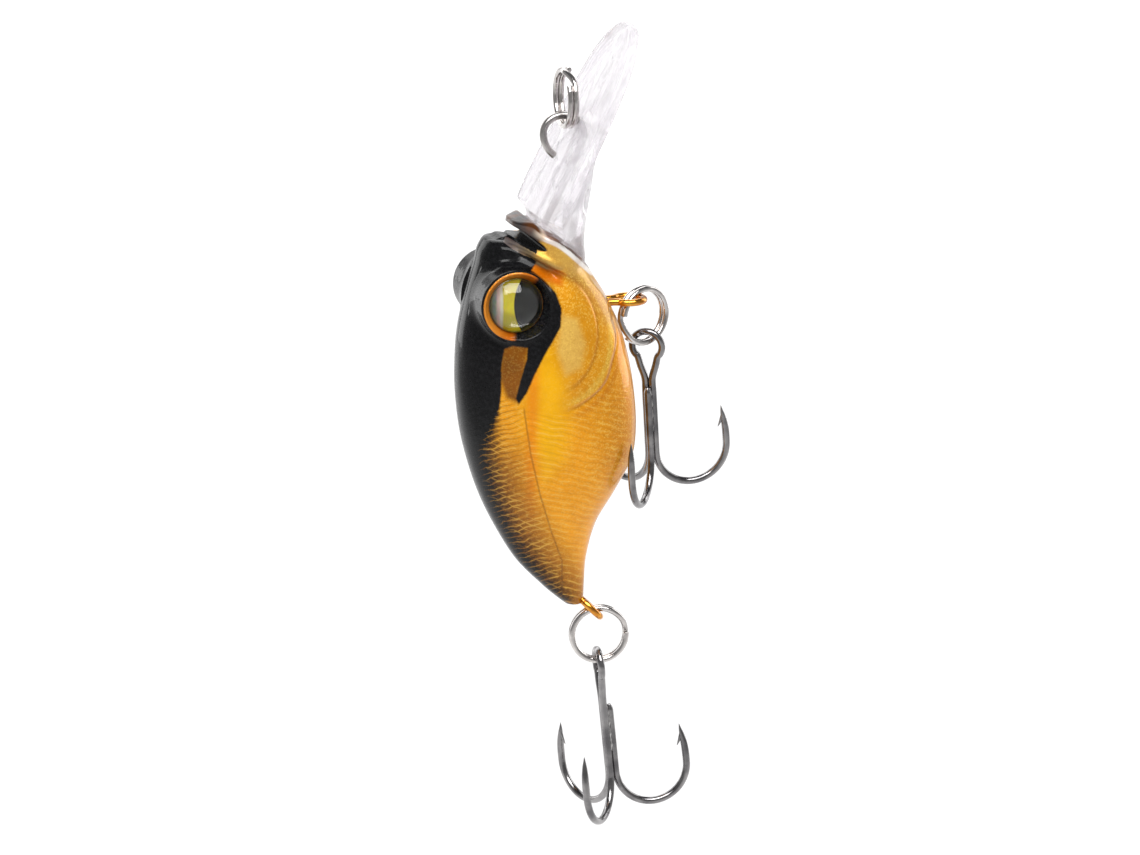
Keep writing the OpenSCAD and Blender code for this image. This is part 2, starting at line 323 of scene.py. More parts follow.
def loft_f(P):
    z = -P[:, 2]
    zc = np.clip(z, SEC[0, 0], SEC[-1, 0])
    xd, xb, w = (np.interp(zc, SEC[:, 0], SEC[:, k]) for k in (1, 2, 3))
    w = w * HALF_W
    xm, hx = (xd + xb) / 2, (xb - xd) / 2
    dx, dy = P[:, 0] - xm, np.abs(P[:, 1])
    r = np.sqrt(dx * dx + dy * dy) + 1e-6
    q = (np.abs(dx / hx) ** 2.05 + (dy / w) ** 2.15) ** (1 / 2.1)
    f = r * (1 - 1 / np.maximum(q, 1e-3))
    f = np.maximum(f, -np.minimum(hx, w))
    e = np.abs(z - zc)
    out = np.where(e > 0, np.where(f > 0, np.sqrt(np.maximum(f, 0) ** 2 + e * e), np.maximum(f, e)), f)
    return out


def mouth_uv(P):
    d = P - MOUTH_F
    return d @ MOUTH_T, d @ MOUTH_N


def side_ab(P):
    """Coordinates as the lure's side is usually looked at, in mm."""
    ay = np.abs(P[:, 1])
    return P[:, 0] + 0.287 * ay, -1.005 * P[:, 2] - 0.074 * P[:, 0] + 0.259 * ay


def seg_dist(a, b, pts):
    d = np.full(len(a), 1e9)
    pts = np.asarray(pts, float)
    for p, q in zip(pts[:-1], pts[1:]):
        v = q - p
        t = np.clip(((a - p[0]) * v[0] + (b - p[1]) * v[1]) / (v @ v + 1e-12), 0, 1)
        d = np.minimum(d, np.hypot(a - p[0] - t * v[0], b - p[1] - t * v[1]))
    return d


def poly_sd(a, b, pts):
    """Signed distance to a closed outline, positive inside."""
    pts = np.asarray(pts, float)
    ring = np.vstack([pts, pts[:1]])
    d = seg_dist(a, b, ring)
    ins = np.zeros(len(a), bool)
    for p, q in zip(ring[:-1], ring[1:]):
        if p[1] == q[1]:
            continue
        c = (p[1] > b) != (q[1] > b)
        ins ^= c & (a < (q[0] - p[0]) * (b - p[1]) / (q[1] - p[1]) + p[0])
    return np.where(ins, d, -d)


LATERAL = [(-4.4, 28.6), (-4.1, 31.5), (-3.5, 35.5), (-2.6, 39.5), (-1.5, 43.2), (-0.4, 46.3)]


MOUTH_TOP = spline([[0.3, 0.75], [0.9, 0.92], [1.5, 1.18], [2.2, 1.42], [3.1, 1.25], [4.9, 1.32], [7.7, 0.68], [10.0, 0.1]], 6)


def outer_f(P):
    f = loft_f(P)
    t, m = mouth_uv(P)
    ay = np.abs(P[:, 1])
    # lower jaw and the chin that carries the lip
    mt = np.interp(t, MOUTH_TOP[:, 0], MOUTH_TOP[:, 1])
    n = (P - LIP_O) @ LIP_N
    for cu, hu, hw, uu, eu, ev, lo, r, k in ((4.6, 3.78, 3.7, t, 2.4, 2.2, 0.1, 0.22, 0.35),
                                           (2.6, 3.65, 5.2, n, 2.2, 2.3, -1.3, 0.12, 0.8)):
        q = (np.abs((uu - cu) / hu) ** eu + (ay / hw) ** ev) ** (1 / 2.3)
        rj = np.hypot(uu - cu, ay) + 1e-6
        d1 = rj * (1 - 1 / np.maximum(q, 1e-3)) + r
        d2 = np.maximum(m - mt, lo - m) + r
        f = smin(f, np.minimum(np.maximum(d1, d2), 0) + np.hypot(np.maximum(d1, 0), np.maximum(d2, 0)) - r, k)
    a, b = side_ab(P)
    lateral = sstep(0.8, 2.4, ay)
    # lip bands
    front = sstep(6.6, 4.6, t) * sstep(-2.0, -0.6, t)
    f = f - 0.20 * np.exp(-((m + 0.94) / 0.34) ** 2) * front
    f = f - 0.12 * np.exp(-((m - 0.80) / 0.24) ** 2) * sstep(4.6, 3.2, t) * sstep(-1.0, 0.2, t)
    # hollow between the snout and the brow, and the nostril pit
    f = f + 0.42 * np.exp(-((a + 5.6) / 1.35) ** 2 - ((b - 16.1) / 0.95) ** 2) * lateral
    f = f + 0.22 * np.exp(-(((a + 1.9) * 0.8 + (b - 17.2) * 0.6) / 1.1) ** 2 - (((b - 17.2) * 0.8 - (a + 1.9) * 0.6) / 0.42) ** 2) * lateral
    # brow and eye ring
    r = np.hypot(P[:, 0] - EYE[0], P[:, 2] - EYE[2])
    d1, d2 = r - 3.0, ay - 5.25
    ring = np.minimum(np.maximum(d1, d2), 0) + np.hypot(np.maximum(d1, 0), np.maximum(d2, 0)) - 0.5
    f = smin(f, np.where(ay > 1.5, ring, 9.0), 0.75)
    # gill cover and cheek plates
    e1 = np.sqrt(((P[:, 0] + 3.0) / 6.7) ** 2 + ((P[:, 2] + 22.2) / 6.9) ** 2)
    wav = 0.02 * np.sin(P[:, 2] * 1.7)
    gate = lateral * sstep(-1.6, 1.4, a) * sstep(-14.5, -18.5, P[:, 2])
    f = f - 0.16 * sstep(1.04, 0.975, e1 + wav) * gate + 0.07 * np.exp(-((e1 + wav - 1.055) / 0.022) ** 2) * gate
    e2 = np.sqrt(((P[:, 0] + 3.6) / 5.1) ** 2 + ((P[:, 2] + 21.6) / 5.7) ** 2)
    f = f - 0.09 * sstep(1.04, 0.97, e2) * gate
    # lateral line
    f = f + 0.05 * np.exp(-(seg_dist(a, b, LATERAL) / 0.11) ** 2) * lateral
    return f


def body_f(P):
    f = outer_f(P)
    t, m = mouth_uv(P)
    ay = np.abs(P[:, 1])
    # mouth slit, cut a little way in from the surface
    u = np.where(t > 1.3, (t - 1.3) / 2.7, (t - 1.3) / 3.6)
    h = 0.52 * np.sqrt(np.clip(1 - u * u, 0, 1)) - 0.02
    cut = np.maximum(np.maximum(np.abs(m + 0.10) - h, -(f + 1.5)), t - 4.0)
    f = np.maximum(f, -cut)
    # eye socket, opening outwards
    r = np.hypot(P[:, 0] - EYE[0], P[:, 2] - EYE[2])
    sock = np.maximum(4.96 - ay, (r - (2.70 + np.clip(ay - 5.05, 0, 2) * 0.75)) * 0.8)
    f = np.maximum(f, -sock)
    return f


def surface_nets(fn, lo, hi, h):
    ax = [np.arange(lo[k], hi[k] + h, h) for k in range(3)]
    nx, ny, nz = map(len, ax)
    val = np.empty((nx, ny, nz), np.float32)
    Y, Z = np.meshgrid(ax[1], ax[2], indexing="ij")
    for i0 in range(0, nx, 16):
        i1 = min(i0 + 16, nx)
        n = (i1 - i0) * ny * nz
        P = np.empty((n, 3))
        P[:, 0] = np.repeat(ax[0][i0:i1], ny * nz)
        P[:, 1] = np.tile(Y.ravel(), i1 - i0)
        P[:, 2] = np.tile(Z.ravel(), i1 - i0)
        val[i0:i1] = fn(P).reshape(i1 - i0, ny, nz)
    inside = val < 0
    cs = (nx - 1, ny - 1, nz - 1)
    acc = np.zeros((cs[0] * cs[1] * cs[2], 3))
    cnt = np.zeros(cs[0] * cs[1] * cs[2])
    quads = []
    org = np.array([ax[0][0], ax[1][0], ax[2][0]])
    for a in range(3):
        s0 = [slice(None)] * 3
        s1 = [slice(None)] * 3
        s0[a], s1[a] = slice(0, -1), slice(1, None)
        A, B = val[tuple(s0)], val[tuple(s1)]
        ch = inside[tuple(s0)] != inside[tuple(s1)]
        idx = np.argwhere(ch)
        va, vb = A[ch], B[ch]
        t = va / (va - vb)
        pos = idx.astype(float)
        pos[:, a] += t
        b, c = (a + 1) % 3, (a + 2) % 3
        ok = (idx[:, b] > 0) & (idx[:, c] > 0) & (idx[:, b] < cs[b]) & (idx[:, c] < cs[c])
        idx, pos, va = idx[ok], pos[ok], va[ok]
        ids = []
        for ob, oc in ((0, 0), (-1, 0), (-1, -1), (0, -1)):
            q = idx.copy()
            q[:, b] += ob
            q[:, c] += oc
            f = np.ravel_multi_index((q[:, 0], q[:, 1], q[:, 2]), cs)
            ids.append(f)
            for k in range(3):
                acc[:, k] += np.bincount(f, pos[:, k], len(cnt))
            cnt += np.bincount(f, minlength=len(cnt))
        ids = np.stack(ids, 1)
        quads.append(np.where((va < 0)[:, None], ids, ids[:, ::-1]))
    quads = np.vstack(quads)
    used = np.flatnonzero(cnt)
    remap = np.full(len(cnt), -1)
    remap[used] = np.arange(len(used))
    V = acc[used] / cnt[used, None] * h + org
    return V, remap[quads]


def project(P, fn, steps=3, cap=0.08):
    e = 0.02
    for _ in range(steps):
        f = fn(P)
        g = np.stack([fn(P + np.eye(3)[k] * e) - fn(P - np.eye(3)[k] * e) for k in range(3)], 1) / (2 * e)
        g2 = np.maximum((g * g).sum(1), 0.15)
        d = -g * (f / g2)[:, None]
        n = np.linalg.norm(d, axis=1, keepdims=True)
        P = P + d * np.minimum(1, cap / np.maximum(n, 1e-9))
    return P


def coords(ob):
    co = np.empty(len(ob.data.vertices) * 3, np.float32)
    ob.data.vertices.foreach_get("co", co)
    return co.reshape(-1, 3).astype(float) / MM


def set_coords(ob, P):
    ob.data.vertices.foreach_set("co", (P * MM).astype(np.float32).ravel())
    ob.data.update()


def apply_mods(ob):
    dg = bpy.context.evaluated_depsgraph_get()
    me = bpy.data.meshes.new_from_object(ob.evaluated_get(dg))
    old = ob.data
    ob.modifiers.clear()
    ob.data = me
    me.name = old.name
    bpy.data.meshes.remove(old)


def point_colour(ob, name, rgba):
    at = ob.data.attributes.new(name, "FLOAT_COLOR", "POINT")
    at.data.foreach_set("color", np.asarray(rgba, np.float32).ravel())


def px(*pts):
    """Outline points in the side view, in tenths of a mm from the ring, to mm."""
    return [((x - 566) / 10, (y - 100) / 10) for x, y in pts]


BLACK = px((400, 180), (500, 205), (509, 232), (515, 242), (531, 254), (537, 263), (532, 272), (545, 282), (556, 294),
           (562, 310), (561, 328), (554, 341), (545, 356), (535, 376), (527, 394), (519, 405), (516, 399), (521, 380),
           (527, 360), (528, 349), (513, 347), (505, 350), (502, 368), (502, 390), (500, 410), (498, 430), (497, 450),
           (500, 475), (507, 500), (518, 525), (533, 550), (550, 572), (563, 588), (572, 600), (574, 640), (380, 560))
TRIANGLE = px((503, 342), (529, 345), (526, 366), (517, 402), (508, 398), (501, 380))
NOSTRIL = px((527, 268), (537, 263), (548, 264), (557, 268), (563, 278), (562, 287), (551, 284), (537, 279), (528, 273))
UPPER_LIP = px((507, 237), (514, 241), (524, 248), (534, 252), (543, 254), (552, 260), (560, 266), (548, 265), (536, 260),
               (524, 256), (513, 250), (504, 243))
THROAT = px((545, 232), (556, 250), (562, 262), (572, 280), (592, 300), (606, 322), (618, 330), (640, 300), (590, 255))
# outline of the pale patch painted on the cheek as a highlight
CHEEK_PAINTED_HIGHLIGHT = px((562, 316), (577, 320), (585, 345), (581, 368), (566, 376), (558, 352))
YELLOW = px((532, 362), (550, 352), (562, 378), (566, 420), (560, 460), (546, 476), (533, 445), (527, 404))


def paint(P, N):
    n = len(P)
    a, b = side_ab(P)
    ay = np.abs(P[:, 1])
    z = -P[:, 2]
    col = np.tile(srgb(244, 162, 18), (n, 1)).astype(float)
    glit = np.full(n, 0.35)

    def over(mask, c, gl=None):
        nonlocal col, glit
        mask = np.clip(mask, 0, 1)
        col = col * (1 - mask[:, None]) + np.array(c)[None] * mask[:, None]
        if gl is not None:
            glit = glit * (1 - mask) + gl * mask

    xd, xb = (np.interp(z, SEC[:, 0], SEC[:, k]) for k in (1, 2))
    rel = (P[:, 0] - xd) / np.maximum(xb - xd, 0.1)
    # deeper orange low on the flank, lighter towards the tail
    over(sstep(0.55, 0.85, rel) * sstep(22, 30, z) * sstep(40, 34, z) * 0.7, srgb(208, 130, 8), 0.7)
    over(sstep(36, 46, z) * 0.6, srgb(248, 166, 30), 0.25)
    # cheek
    e1 = np.sqrt(((P[:, 0] + 3.0) / 6.7) ** 2 + ((P[:, 2] + 22.2) / 6.9) ** 2)
    e2 = np.sqrt(((P[:, 0] + 3.6) / 5.1) ** 2 + ((P[:, 2] + 21.6) / 5.7) ** 2)
    arcs = sstep(-1.2, 1.2, a)
    over(sstep(1.06, 0.92, e1) * sstep(0.25, 0.5, rel) * 0.85, srgb(226, 152, 22), 0.6)
    over(np.exp(-((e1 - 0.93) / 0.05) ** 2) * arcs * 0.8, srgb(240, 190, 70), 1.0)
    over(np.exp(-((e1 - 1.03) / 0.03) ** 2) * arcs * 0.6, srgb(150, 84, 8), 0.3)
    over(np.exp(-((e2 - 1.04) / 0.035) ** 2) * arcs * 0.55, srgb(160, 92, 10), 0.4)
    over(np.exp(-((e1 - 1.14) / 0.06) ** 2) * arcs * 0.5, srgb(196, 112, 6), 0.4)
    over(sstep(-1.8, 1.2, poly_sd(a, b, YELLOW)), srgb(246, 180, 0), 0.12)
    orange = np.exp(-((a + 3.3 + 0.03 * (b - 30)) / 0.7) ** 2) * sstep(25, 28, b) * sstep(47, 40, b)
    over(orange * 0.75, srgb(240, 136, 2), 0.1)
    # pale pearly patch on the cheek: a painted highlight standing for the soft reflection there
    over(sstep(-0.5, 0.4, poly_sd(a, b, CHEEK_PAINTED_HIGHLIGHT)) * 0.85, srgb(236, 192, 96), 0.5)
    over(sstep(-0.9, 0.7, poly_sd(a, b, THROAT)) * 0.85, srgb(180, 130, 56), 0.5)
    # clear tan edge along the belly
    rim = sstep(2.6, 0.9, ay) * sstep(0.72, 0.93, rel) * sstep(15.5, 18, z) * sstep(46, 40, z)
    over(rim * 0.85, srgb(196, 140, 86), 0.35)
    # bronze where the gold meets the black
    sd = poly_sd(a, b, BLACK)
    over(sstep(-4.2, -0.6, sd) * sstep(32, 38, b) * 0.9, srgb(158, 98, 22), 0.2)
    over(sstep(-0.5, 0.3, poly_sd(a, b, TRIANGLE)), srgb(124, 72, 8), 0.12)
    over(sstep(-0.35, 0.25, poly_sd(a, b, NOSTRIL)), srgb(206, 108, 4), 0.1)
    # jaws
    t, m = mouth_uv(P)
    mt = np.interp(t, MOUTH_TOP[:, 0], MOUTH_TOP[:, 1])
    bandu = sstep(-0.25, 0.12, poly_sd(a, b, UPPER_LIP)) * sstep(0.35, -0.1, m)
    shade = sstep(-5.6, -1.5, a)[:, None]
    streak = 0.78 + 0.22 * np.sin(m * 19.0 + 2.0 * np.sin(t * 1.6))
    tan = (np.array(srgb(96, 88, 88)) * (1 - shade) + np.array(srgb(172, 148, 96)) * shade) * streak[:, None]
    glit = np.where(sstep(-0.9, -0.3, poly_sd(a, b, UPPER_LIP)) > 0.5, 0.05, glit)
    wide = sstep(-0.75, -0.4, poly_sd(a, b, UPPER_LIP)) * sstep(0.5, 0.1, m) * sstep(1.0, -0.2, a)
    col = col * (1 - wide[:, None]) + tan * wide[:, None]
    low = sstep(0.2, 0.32, m) * sstep(4.4, 3.7, t)
    over(low, srgb(78, 73, 72), 0.0)
    # pale band on the jaw inside the lip seam: the clear unpainted rim, painted pale as a highlight
    over(low * sstep(2.1, 3.0, t) * sstep(0.4, 0.8, m), srgb(206, 197, 180), 0.0)
    # near-black line on the jaw at the lip seam: painted shadow of the gap where the lip sits in its slot
    over(low * sstep(-0.30, -0.20, m - mt) * sstep(3.2, 2.6, t), srgb(26, 24, 25), 0.0)
    chin = sstep(2.9, 3.5, t) * sstep(-1.6, -0.5, m) * sstep(12.0, 9.5, t)
    over(chin, srgb(214, 166, 74), 0.4)
    # white band under the lip seam: the clear unpainted rim, painted white as a highlight
    over(chin * sstep(-0.80, -0.62, m - mt), srgb(244, 240, 234), 0.0)
    # brown-grey line at the lip seam: painted shadow of the gap where the lip sits in its slot
    over(chin * sstep(-0.30, -0.25, m - mt), srgb(104, 86, 80), 0.0)
    # eye socket wall: amber behind, black in front
    r = np.hypot(P[:, 0] - EYE[0], P[:, 2] - EYE[2])
    outer = outer_f(P)
    inside = sstep(-0.08, -0.3, outer) * (r > 3.4) * (t < 4.6) * (z < 16)
    hatch = sstep(30, 36, b) * sstep(54, 48, b) * sstep(-1.2, 0.4, 2.4 - np.abs(sd + 0.2))
    zone = np.zeros((n, 4))
    blk = sd.copy()
    # the pale lip band and jaw stay clear of the black
    blk = blk * (1 - bandu) - 0.8 * bandu
    blk = np.where(low > 0.5, -0.8, blk)
    blk = np.where(chin > 0.5, np.minimum(blk, -0.4), blk)
    blk = np.where(inside > 0.5, 1.5, blk)
    blk = np.where((m > -0.8) & (m < 0.2) & (t < 3.2) & (z < 16), 1.5, blk)
    zone[:, 0] = np.clip(blk / 4 + 0.5, 0, 1)
    zone[:, 1] = hatch
    zone[:, 2] = glit
    zone[:, 3] = 1
    scal = sstep(1.0, 1.1, e1) * sstep(25.5, 29, z) * sstep(0.97, 0.8, rel)
    lat = np.array(LATERAL)
    aL = np.interp(b, lat[:, 1], lat[:, 0])
    dull = sstep(-0.85, -0.62, m) * sstep(0.55, 0.35, m) * sstep(4.3, 3.7, t) * (z < 16)
    dull = np.maximum(np.maximum(dull, inside), 0.75 * bandu)
    zone2 = np.stack([scal, ((a - aL) / 20 + 0.5).clip(0, 1), dull, np.ones(n)], 1)
    return np.concatenate([col, np.ones((n, 1))], 1), zone, zone2


BODY_H = 0.22
V, Q = surface_nets(body_f, (-12.0, -7.4, -51.2), (8.0, 7.4, -9.2), BODY_H)
whole = mesh_object("whole_body", V, Q)
sub = whole.modifiers.new("sub", "SUBSURF")
sub.levels = sub.render_levels = 1
apply_mods(whole)
P = project(coords(whole), body_f, 3)
set_coords(whole, P)
whole.data.polygons.foreach_set("use_smooth", [True] * len(whole.data.polygons))
col, zone, zone2 = paint(P, None)
point_colour(whole, "paint", col)
point_colour(whole, "zone", zone)
point_colour(whole, "zone2", zone2)

halves = {}
for side, nm in ((-1, "right"), (1, "left")):
    bm = bmesh.new()
    bm.from_mesh(whole.data)
    bmesh.ops.bisect_plane(bm, geom=bm.verts[:] + bm.edges[:] + bm.faces[:], plane_co=(0, 0, 0), plane_no=(0, -side, 0),
                           clear_outer=True, dist=1e-7)
    me = bpy.data.meshes.new("body_half_" + nm)
    bm.to_mesh(me)
    bm.free()
    ob = link(bpy.data.objects.new("body_half_" + nm, me))
    me.polygons.foreach_set("use_smooth", [True] * len(me.polygons))
    so = ob.modifiers.new("rim", "SOLIDIFY")
    so.thickness = 0.3 * MM
    so.offset = -1
    so.use_rim_only = True
    halves[nm] = ob
bpy.data.objects.remove(whole)


# ------------------------------------------------------------------ body material
def shell_material(name):
    m = Mat(name)
    v = m.mm()
    X, Y, Z = m.xyz(v)
    ay = m.math("ABSOLUTE", Y)
    a = m.math("MULTIPLY_ADD", ay, 0.287, X)
    b = m.math("MULTIPLY_ADD", ay, 0.259, m.math("MULTIPLY_ADD", Z, -1.005, m.math("MULTIPLY", X, -0.074)))
    zone = m.n("SeparateColor")
    m.put(zone.inputs[0], m.attr("zone"))
    zone2 = m.n("SeparateColor")
    m.put(zone2.inputs[0], m.attr("zone2"))
    sd = m.math("MULTIPLY", m.math("SUBTRACT", zone.outputs[0], 0.5), 4.0)
    hatch, glit, scal = zone.outputs[1], zone.outputs[2], zone2.outputs[0]
    # fine ribs on both sides of the lateral line, like the bones of a fish
    dl = m.math("MULTIPLY", m.math("SUBTRACT", zone2.outputs[1], 0.5), 20.0)
    right_side = m.ramp(dl, -0.05, 0.05)
    slope = m.math("MULTIPLY_ADD", right_side, 0.5, -0.28)
    n_lo = m.noise(v, 0.5, 2, 0.5)
    pr = m.math("SUBTRACT", b, m.math("MULTIPLY", dl, slope))
    pr = m.math("MULTIPLY_ADD", n_lo, 0.8, pr)
    period = m.math("MULTIPLY_ADD", right_side, 0.20, 0.56)
    fr = m.math("FRACT", m.math("DIVIDE", pr, period))
    tri = m.math("ABSOLUTE", m.math("MULTIPLY_ADD", fr, 2.0, -1.0))
    ridge = m.ramp(tri, 0.62, 1.0)
    valley = m.ramp(tri, 0.42, 0.0)
    # a second, crossing set breaks up the upper side
    pr2 = m.math("MULTIPLY_ADD", dl, -0.42, m.math("MULTIPLY_ADD", n_lo, -0.9, b))
    fr2 = m.math("FRACT", m.math("DIVIDE", pr2, 0.74))
    tri2 = m.math("ABSOLUTE", m.math("MULTIPLY_ADD", fr2, 2.0, -1.0))
    left_side = m.math("SUBTRACT", 1.0, right_side)
    ridge2 = m.math("MULTIPLY", m.ramp(tri2, 0.7, 1.0), left_side)
    patch = m.ramp(m.noise(m.vmath("MULTIPLY", v, (0.7, 0.7, 1.3)), 1.0, 2), 0.35, 0.6)
    stroke = m.math("MAXIMUM", ridge, m.math("MULTIPLY", ridge2, m.math("MULTIPLY", patch, 0.8)))
    line_l = m.math("MULTIPLY", m.ramp(m.math("ABSOLUTE", dl), 0.03, 0.16, 1.0, 0.0), scal)
    # the black spray: soft edge, broken by the ribs where it thins out
    fine = m.noise(m.vmath("MULTIPLY", v, (2.6, 2.6, 4.0)), 1.0, 3, 0.6)
    fade = m.ramp(sd, 1.9, 0.2)
    brk = m.math("MULTIPLY", m.math("MULTIPLY", stroke, hatch), m.math("MULTIPLY_ADD", fine, 1.9, 0.7))
    dist = m.math("MULTIPLY_ADD", brk, -0.62, m.math("MULTIPLY_ADD", m.math("SUBTRACT", fine, 0.5), m.math("MULTIPLY_ADD", hatch, 2.2, 0.12), sd))
    soft = m.math("MULTIPLY_ADD", hatch, 1.35, 0.12)
    blk = m.ramp(m.math("DIVIDE", dist, soft), -1.0, 1.0)
    # gold paint with flakes
    cell = m.voronoi(v, 7.5, out="Color")
    cs = m.n("SeparateColor")
    m.put(cs.inputs[0], cell)
    rnd, rnd2 = cs.outputs[0], cs.outputs[1]
    base = m.attr("paint")
    flake = m.math("MULTIPLY", m.ramp(rnd, 0.55, 1.0), glit)
    dim = m.math("MULTIPLY", m.ramp(rnd2, 0.6, 1.0), glit)
    c = m.mix(m.math("MULTIPLY", flake, 0.75), base, srgb(255, 220, 104))
    c = m.mix(m.math("MULTIPLY", dim, 0.35), c, srgb(176, 104, 12))
    cloud = m.ramp(m.noise(v, 0.55, 3, 0.55), 0.35, 0.7)
    c = m.mix(m.math("MULTIPLY", cloud, 0.18), c, srgb(186, 104, 8))
    side_dark = m.math("MULTIPLY", m.ramp(dl, 0.3, -3.2), scal)
    c = m.mix(m.math("MULTIPLY", m.math("MULTIPLY", valley, scal), m.math("MULTIPLY_ADD", side_dark, 0.50, 0.16)), c, srgb(140, 84, 14))
    c = m.mix(m.math("MULTIPLY", m.math("MULTIPLY", stroke, scal), m.math("MULTIPLY", patch, 0.40)), c, srgb(250, 205, 96))
    c = m.mix(m.math("MULTIPLY", line_l, 0.35), c, srgb(128, 76, 10))
    ex, ez = m.math("SUBTRACT", X, float(EYE[0])), m.math("SUBTRACT", Z, float(EYE[2]))
    er = m.math("SQRT", m.math("MULTIPLY_ADD", ex, ex, m.math("MULTIPLY", ez, ez)))
    sock = m.math("MULTIPLY", m.ramp(er, 3.36, 3.30), m.ramp(ay, 4.7, 4.9))
    ang = m.math("MULTIPLY_ADD", ex, 0.9, m.math("MULTIPLY", ez, -0.35))
    c = m.mix(sock, c, m.mix(m.ramp(ang, -1.6, 0.6), srgb(226, 140, 44), srgb(190, 96, 10)))
    blk = m.mix(sock, blk, m.ramp(ang, 0.5, 1.1))
    ink = m.mix(m.ramp(m.noise(v, 3.0, 3), 0.4, 0.7), (0.004, 0.004, 0.0045), (0.010, 0.010, 0.011))
    c = m.mix(blk, c, ink)
    metal = m.math("MULTIPLY", m.math("MULTIPLY_ADD", glit, 0.38, 0.20), m.math("SUBTRACT", 1.0, blk))
    rough = m.math("MULTIPLY_ADD", rnd, 0.14, m.math("MULTIPLY_ADD", blk, -0.12, 0.30))
    h = m.math("MULTIPLY_ADD", m.math("MULTIPLY", rnd, glit), 0.35, m.math("MULTIPLY", m.math("MULTIPLY", stroke, scal), 1.2))
    seam = m.ramp(m.math("ABSOLUTE", Y), 0.0, 0.10)
    h = m.math("MULTIPLY", h, m.math("SUBTRACT", 1.0, blk))
    h = m.math("MULTIPLY_ADD", seam, 0.8, h)
    nb = m.bump(h, 0.00002, 0.8)
    wav = m.noise(v, 0.8, 2, 0.4)
    nc = m.bump(m.math("MULTIPLY_ADD", wav, 1.0, m.math("MULTIPLY_ADD", m.math("MULTIPLY", stroke, scal), 0.30, m.math("MULTIPLY", seam, 0.5))), 0.00003, 0.6)
    bs = m.bsdf(Base_Color=c, Metallic=metal, Roughness=rough, Normal=nb, Coat_Weight=m.math("MULTIPLY", m.math("MULTIPLY_ADD", blk, -0.22, 0.56), m.math("SUBTRACT", 1.0, zone2.outputs[2])), Coat_Roughness=0.025,
                Coat_IOR=1.42, Coat_Normal=nc, Specular_IOR_Level=0.06)
    return m.done(bs.outputs[0])


dress(halves["right"], shell_material("body_paint_right"), "body_right", "lure_body", "body_shell_right")
dress(halves["left"], shell_material("body_paint_left"), "body_left", "lure_body", "body_shell_left")


# ------------------------------------------------------------------ lip
OUT = spline([[-0.4, 3.0], [0, 6.3], [0.5, 6.6], [2, 6.9], [5, 6.9], [8, 6.6], [12, 6.2], [15, 5.6], [16.8, 4.9],
              [18.2, 3.9], [19.3, 2.7], [19.95, 1.4], [20.2, 0]], 5)
OUTLINE = np.vstack([OUT, OUT[::-1][1:] * [1, -1]])
KEEL = spline([[-3.2, 7.0, 5.4], [-1.8, 6.4, 5.9], [-0.4, 5.5, 6.2], [1.7, 4.6, 6.4], [4.9, 3.5, 6.2], [7.2, 2.8, 5.4],
               [9, 2.1, 4.2], [10.6, 1.3, 2.6]], 6)


def lip_world(Q):
    return LIP_O + Q[:, :1] * LIP_N + Q[:, 1:2] * np.array([[0, 1, 0]]) + Q[:, 2:3] * LIP_S


def lip_f(P):
    """P as (n, y, s) in the lip's own frame."""
    n, y, s = P[:, 0], P[:, 1], P[:, 2]
    ay = np.abs(y)
    r = 0.3
    d2 = -poly_sd(s, y, OUTLINE) + r
    d1 = np.abs(n - 0.62) - 0.56 + r
    pad = np.minimum(np.maximum(d1, d2), 0) + np.hypot(np.maximum(d1, 0), np.maximum(d2, 0)) - r
    sc = np.clip(s, KEEL[0, 0], KEEL[-1, 0])
    D, W = np.interp(sc, KEEL[:, 0], KEEL[:, 1]), np.interp(sc, KEEL[:, 0], KEEL[:, 2])
    q = (np.abs((n - 0.3) / np.maximum(D - 0.34, 0.2)) ** 1.75 + (ay / W) ** 2.3) ** (1 / 2)
    rr = np.sqrt((n - 0.3) ** 2 + ay ** 2) + 1e-6
    keel = rr * (1 - 1 / np.maximum(q, 1e-3))
    keel = np.maximum(keel, 0.3 - n)
    back_cut = 0.55 * (ay - 2.0) * sstep(0.2, -1.0, s) - n + 0.1
    keel = np.maximum(keel, np.where(s < 0.2, back_cut, -9.0))
    e = np.abs(s - sc)
    keel = np.where(e > 0, np.where(keel > 0, np.hypot(keel, e), np.maximum(keel, e)), keel)
    f = smin(pad, keel, 0.35)
    rib = np.maximum(np.hypot(np.maximum(ay - 0.3, 0), np.maximum(np.abs(s - 12.6) - 3.6, 0)) - 0.25, n - 1.42)
    rib = np.maximum(rib, 0.9 - n)
    f = smin(f, rib, 0.25)
    for c0, c1, ra, rb in ((3.2, 4.3, 1.35, 0.85), (6.2, 3.3, 0.95, 0.6)):
        g = ((s - c0) * 0.94 + (ay - c1) * 0.34) ** 2 / ra ** 2 + ((ay - c1) * 0.94 - (s - c0) * 0.34) ** 2 / rb ** 2
        f = f + 0.55 * np.exp(-g * g) * sstep(1.0, 1.6, n)
    f = f - 0.06 * np.exp(-((np.abs(poly_sd(s, y, OUTLINE) - 0.75)) / 0.25) ** 2) * sstep(0.9, 1.2, n) * sstep(9, 12, s)
    t, m = mouth_uv(lip_world(P))
    mt = np.interp(t, MOUTH_TOP[:, 0], MOUTH_TOP[:, 1])
    return np.maximum(f, np.maximum(mt - 0.15 - m, 1.5 - t))


LIP_H = 0.2
V, Q = surface_nets(lip_f, (-0.5, -7.4, -4.0), (7.8, 7.4, 20.8), LIP_H)
V = project(V, lip_f, 4)
lip = mesh_object("lip_clear", V, Q)
sub = lip.modifiers.new("sub", "SUBSURF")
sub.levels = sub.render_levels = 1
apply_mods(lip)
P = project(coords(lip), lip_f, 3)
set_coords(lip, lip_world(P))
lip.data.polygons.foreach_set("use_smooth", [True] * len(lip.data.polygons))


